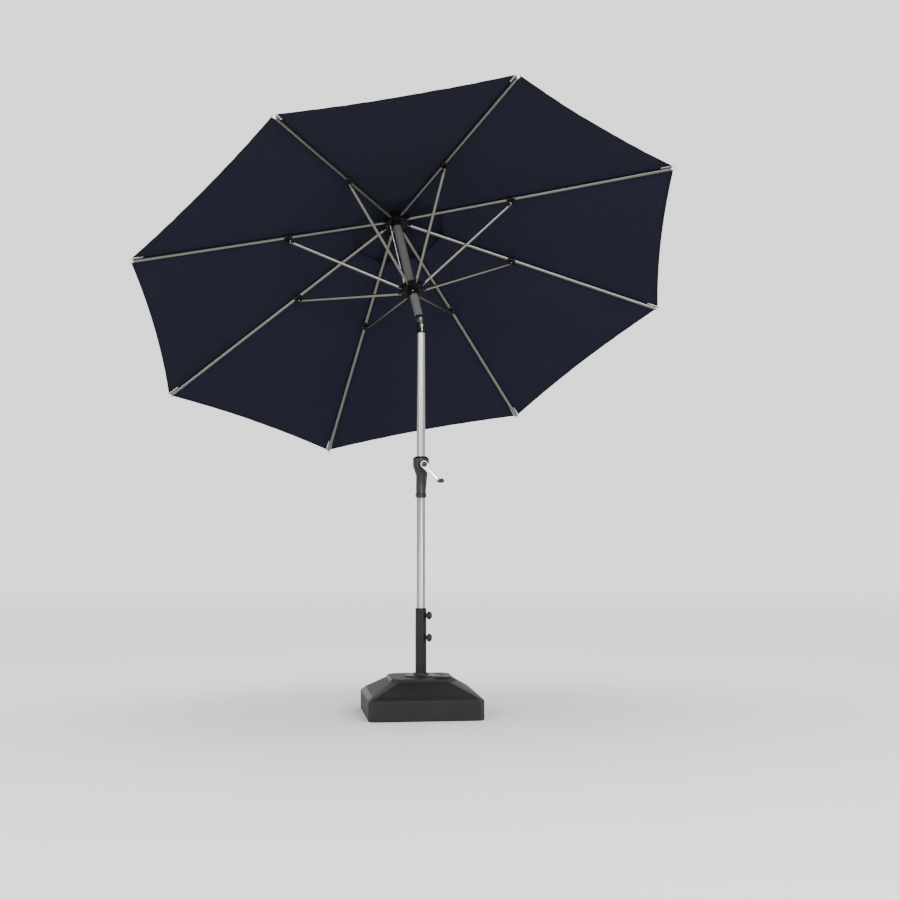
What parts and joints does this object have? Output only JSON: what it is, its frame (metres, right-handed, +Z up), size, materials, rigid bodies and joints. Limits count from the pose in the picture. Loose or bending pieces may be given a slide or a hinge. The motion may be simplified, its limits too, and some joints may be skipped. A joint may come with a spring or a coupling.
{
  "type": "patio umbrella with base",
  "caption": "Crank-lift patio umbrella with a tilting upper pole, ribbed eight-sided canopy and vent, standing in a filled square base with clamp knobs.",
  "frame": {"origin": "centre of the base's underside, on the ground under the pole", "axes": "+Z up along the lower pole, -Y towards the base's front; the leaning pole falls away towards +Y, a little to -X"},
  "size_m": [2.52, 2.071, 2.6996],
  "materials": {
    "base_plastic": "matte",
    "sand_fill": "matte",
    "tube_black_steel": "satin",
    "knob_black": "satin",
    "pole_aluminium": "satin",
    "upper_pole_grey": "satin",
    "crank_housing_black": "satin",
    "crank_shaft_black": "satin",
    "crank_arm_bright": "polished",
    "tilt_steel": "satin",
    "tilt_link_grey": "satin",
    "hub_black": "satin",
    "rib_grey": "satin",
    "canopy_cloth": "matte",
    "cord_white": "matte"
  },
  "bodies": {
    "base": {"base_tank": "base_plastic", "ballast": "sand_fill", "tube_flange": "base_plastic", "base_tube": "tube_black_steel"},
    "clamp_upper": {"clamp_knob_upper": "knob_black"},
    "clamp_lower": {"clamp_knob_lower": "knob_black"},
    "fill_cap": {"fill_cap": "knob_black"},
    "pole_bush": {"pole_bush": "knob_black"},
    "pole": {"lower_pole": "pole_aluminium", "main_pole": "pole_aluminium", "crank_housing_front": "crank_housing_black", "crank_housing_back": "crank_housing_black", "tilt_fork": "tilt_steel", "tilt_pin": "tilt_steel", "lift_cord_lower": "cord_white"},
    "crank": {"crank_spool": "crank_shaft_black", "crank_arm": "crank_arm_bright"},
    "crank_knob": {"crank_knob": "knob_black"},
    "tilt_button": {"tilt_button": "tilt_steel"},
    "canopy_top": {"upper_pole": "upper_pole_grey", "upper_bush": "knob_black", "tilt_tongue": "tilt_link_grey", "crown_hub": "hub_black", "finial": "hub_black", "vent_canopy": "canopy_cloth", "lift_cord": "cord_white"},
    "pulley": {"pulley": "hub_black"},
    "runner": {"runner_hub": "hub_black"},
    "rib_1": {"rib_1": "rib_grey", "rib_bracket_1": "hub_black", "canopy_panel_1": "canopy_cloth"},
    "strut_1": {"strut_1": "rib_grey"},
    "rib_2": {"rib_2": "rib_grey", "rib_bracket_2": "hub_black", "canopy_panel_2": "canopy_cloth"},
    "strut_2": {"strut_2": "rib_grey"},
    "rib_3": {"rib_3": "rib_grey", "rib_bracket_3": "hub_black", "canopy_panel_3": "canopy_cloth"},
    "strut_3": {"strut_3": "rib_grey"},
    "rib_4": {"rib_4": "rib_grey", "rib_bracket_4": "hub_black", "canopy_panel_4": "canopy_cloth"},
    "strut_4": {"strut_4": "rib_grey"},
    "rib_5": {"rib_5": "rib_grey", "rib_bracket_5": "hub_black", "canopy_panel_5": "canopy_cloth"},
    "strut_5": {"strut_5": "rib_grey"},
    "rib_6": {"rib_6": "rib_grey", "rib_bracket_6": "hub_black", "canopy_panel_6": "canopy_cloth"},
    "strut_6": {"strut_6": "rib_grey"},
    "rib_7": {"rib_7": "rib_grey", "rib_bracket_7": "hub_black", "canopy_panel_7": "canopy_cloth"},
    "strut_7": {"strut_7": "rib_grey"},
    "rib_8": {"rib_8": "rib_grey", "rib_bracket_8": "hub_black", "canopy_panel_8": "canopy_cloth"},
    "strut_8": {"strut_8": "rib_grey"}
  },
  "joints": [
    {"name": "clamp_upper_turn", "type": "hinge", "parent": "base", "child": "clamp_upper", "pos_m": [0, 0, 0.446], "axis": [0.8988, -0.4384, 0], "range_deg": [0, 720]},
    {"name": "clamp_lower_turn", "type": "hinge", "parent": "base", "child": "clamp_lower", "pos_m": [0, 0, 0.346], "axis": [0.8988, -0.4384, 0], "range_deg": [0, 720]},
    {"name": "fill_cap_lift", "type": "slide", "parent": "base", "child": "fill_cap", "axis": [0, 0, 1], "range_m": [0, 0.05]},
    {"name": "umbrella_turn", "type": "hinge", "parent": "base", "child": "pole_bush", "pos_m": [0, 0, 0.476], "axis": [0, 0, 1], "continuous": true},
    {"name": "umbrella_lift", "type": "slide", "parent": "pole_bush", "child": "pole", "axis": [0, 0, 1], "range_m": [0, 0.4]},
    {"name": "crank_turn", "type": "hinge", "parent": "pole", "child": "crank", "pos_m": [0, 0, 1.13], "axis": [0.2317, -0.9728, 0], "range_deg": [0, 680]},
    {"name": "crank_knob_spin", "type": "hinge", "parent": "crank", "child": "crank_knob", "pos_m": [0.07028, 0.01674, 1.05519], "axis": [0.2317, -0.9728, 0], "continuous": true},
    {"name": "tilt_button_press", "type": "slide", "parent": "pole", "child": "tilt_button", "axis": [-0.9728, -0.2317, 0], "range_m": [0, 0.0025], "stiffness_N_per_m": 400, "springref_m": -0.002},
    {"name": "tilt_hinge", "type": "hinge", "parent": "pole", "child": "canopy_top", "pos_m": [0, 0, 1.763], "axis": [-0.9728, -0.2317, 0], "range_deg": [-34.4, 0], "deforming": ["lift_cord"]},
    {"name": "runner_slide", "type": "slide", "parent": "canopy_top", "child": "runner", "axis": [0.1309, -0.5496, -0.8251], "range_m": [0, 0.12], "deforming": ["lift_cord", "vent_canopy", "canopy_panel_1", "canopy_panel_2", "canopy_panel_3", "canopy_panel_4", "canopy_panel_5", "canopy_panel_6", "canopy_panel_7", "canopy_panel_8"]},
    {"name": "pulley_turn", "type": "hinge", "parent": "canopy_top", "child": "pulley", "pos_m": [-0.10089, 0.35405, 2.29045], "axis": [-0.1325, -0.8345, 0.5348], "range_deg": [-640, 640]},
    {"name": "rib_1_fold", "type": "hinge", "parent": "canopy_top", "child": "rib_1", "pos_m": [-0.06992, 0.30686, 2.30741], "axis": [0.9584, 0.2831, -0.0365], "range_deg": [0, 7.5]},
    {"name": "strut_1_fold", "type": "hinge", "parent": "runner", "child": "strut_1", "pos_m": [-0.01572, 0.07933, 1.96581], "axis": [0.9584, 0.2831, -0.0365], "range_deg": [-6.5, 0]},
    {"name": "rib_2_fold", "type": "hinge", "parent": "canopy_top", "child": "rib_2", "pos_m": [-0.04096, 0.32752, 2.29824], "axis": [0.4984, 0.756, -0.4244], "range_deg": [0, 7.5]},
    {"name": "strut_2_fold", "type": "hinge", "parent": "runner", "child": "strut_2", "pos_m": [0.01325, 0.09999, 1.95665], "axis": [0.4984, 0.756, -0.4244], "range_deg": [-6.5, 0]},
    {"name": "rib_3_fold", "type": "hinge", "parent": "canopy_top", "child": "rib_3", "pos_m": [-0.03609, 0.35818, 2.2786], "axis": [-0.2536, 0.786, -0.5638], "range_deg": [0, 7.5]},
    {"name": "strut_3_fold", "type": "hinge", "parent": "runner", "child": "strut_3", "pos_m": [0.01812, 0.13065, 1.937], "axis": [-0.2536, 0.786, -0.5638], "range_deg": [-6.5, 0]},
    {"name": "rib_4_fold", "type": "hinge", "parent": "canopy_top", "child": "rib_4", "pos_m": [-0.05817, 0.38088, 2.25997], "axis": [-0.857, 0.3556, -0.3729], "range_deg": [0, 7.5]},
    {"name": "strut_4_fold", "type": "hinge", "parent": "runner", "child": "strut_4", "pos_m": [-0.00397, 0.15335, 1.91838], "axis": [-0.857, 0.3556, -0.3729], "range_deg": [-6.5, 0]},
    {"name": "rib_5_fold", "type": "hinge", "parent": "canopy_top", "child": "rib_5", "pos_m": [-0.09427, 0.38232, 2.25328], "axis": [-0.9584, -0.2831, 0.0365], "range_deg": [0, 7.5]},
    {"name": "strut_5_fold", "type": "hinge", "parent": "runner", "child": "strut_5", "pos_m": [-0.04006, 0.15479, 1.91169], "axis": [-0.9584, -0.2831, 0.0365], "range_deg": [-6.5, 0]},
    {"name": "rib_6_fold", "type": "hinge", "parent": "canopy_top", "child": "rib_6", "pos_m": [-0.12323, 0.36166, 2.26245], "axis": [-0.4984, -0.756, 0.4244], "range_deg": [0, 7.5]},
    {"name": "strut_6_fold", "type": "hinge", "parent": "runner", "child": "strut_6", "pos_m": [-0.06903, 0.13413, 1.92085], "axis": [-0.4984, -0.756, 0.4244], "range_deg": [-6.5, 0]},
    {"name": "rib_7_fold", "type": "hinge", "parent": "canopy_top", "child": "rib_7", "pos_m": [-0.1281, 0.331, 2.2821], "axis": [0.2536, -0.786, 0.5638], "range_deg": [0, 7.5]},
    {"name": "strut_7_fold", "type": "hinge", "parent": "runner", "child": "strut_7", "pos_m": [-0.07389, 0.10347, 1.9405], "axis": [0.2536, -0.786, 0.5638], "range_deg": [-6.5, 0]},
    {"name": "rib_8_fold", "type": "hinge", "parent": "canopy_top", "child": "rib_8", "pos_m": [-0.10601, 0.3083, 2.30072], "axis": [0.857, -0.3556, 0.3729], "range_deg": [0, 7.5]},
    {"name": "strut_8_fold", "type": "hinge", "parent": "runner", "child": "strut_8", "pos_m": [-0.05181, 0.08078, 1.95912], "axis": [0.857, -0.3556, 0.3729], "range_deg": [-6.5, 0]}
  ],
  "couplings": [
    {"joint": "crank_turn", "follows": "runner_slide", "rad_per_m": 97.087},
    {"joint": "pulley_turn", "follows": "runner_slide", "rad_per_m": 76.923},
    {"joint": "rib_1_fold", "follows": "runner_slide", "rad_per_m": 1.0754},
    {"joint": "strut_1_fold", "follows": "runner_slide", "rad_per_m": -0.926},
    {"joint": "rib_2_fold", "follows": "runner_slide", "rad_per_m": 1.0754},
    {"joint": "strut_2_fold", "follows": "runner_slide", "rad_per_m": -0.926},
    {"joint": "rib_3_fold", "follows": "runner_slide", "rad_per_m": 1.0754},
    {"joint": "strut_3_fold", "follows": "runner_slide", "rad_per_m": -0.926},
    {"joint": "rib_4_fold", "follows": "runner_slide", "rad_per_m": 1.0754},
    {"joint": "strut_4_fold", "follows": "runner_slide", "rad_per_m": -0.926},
    {"joint": "rib_5_fold", "follows": "runner_slide", "rad_per_m": 1.0754},
    {"joint": "strut_5_fold", "follows": "runner_slide", "rad_per_m": -0.926},
    {"joint": "rib_6_fold", "follows": "runner_slide", "rad_per_m": 1.0754},
    {"joint": "strut_6_fold", "follows": "runner_slide", "rad_per_m": -0.926},
    {"joint": "rib_7_fold", "follows": "runner_slide", "rad_per_m": 1.0754},
    {"joint": "strut_7_fold", "follows": "runner_slide", "rad_per_m": -0.926},
    {"joint": "rib_8_fold", "follows": "runner_slide", "rad_per_m": 1.0754},
    {"joint": "strut_8_fold", "follows": "runner_slide", "rad_per_m": -0.926}
  ]
}
